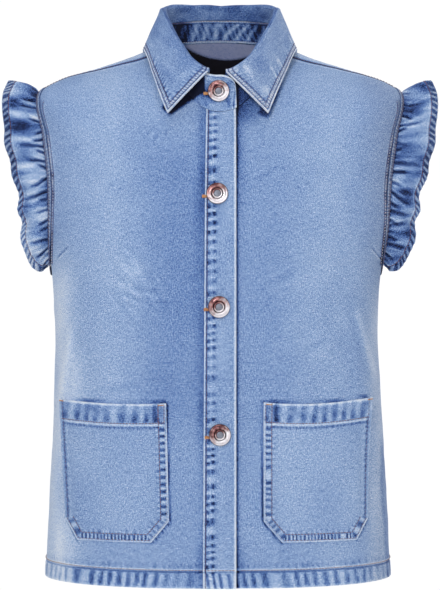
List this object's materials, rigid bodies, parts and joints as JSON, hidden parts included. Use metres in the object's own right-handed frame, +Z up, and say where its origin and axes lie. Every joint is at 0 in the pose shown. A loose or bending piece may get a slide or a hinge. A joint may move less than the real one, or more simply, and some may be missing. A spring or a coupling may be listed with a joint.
{
  "type": "sleeveless denim vest",
  "caption": "Hollow worn-form denim vest with a shirt collar, buttoned front placket, clipped-corner patch pockets and gathered armhole ruffles.",
  "frame": {"origin": "midway between the two points where the shoulder seams meet the collar, where the wearer's neck and shoulders hold the vest", "axes": "+Z up, the front faces -Y, +X towards the wearer's left"},
  "size_m": [0.4716, 0.2335, 0.628],
  "materials": {
    "denim": "light washed cotton denim",
    "trim_denim": "washed cotton denim, darker at the gathers",
    "button_metal": "pressed metal, warm silver"
  },
  "bodies": {
    "root": {"front_right": "denim", "front_left": "denim", "back": "denim", "placket": "denim", "pocket_right": "denim", "pocket_left": "denim", "collar_stand": "denim", "collar_leaf": "denim", "armhole_band_left": "trim_denim", "armhole_band_right": "trim_denim", "ruffle_left": "trim_denim", "ruffle_right": "trim_denim", "button_1": "button_metal", "button_2": "button_metal", "button_3": "button_metal", "button_4": "button_metal"}
  },
  "joints": []
}
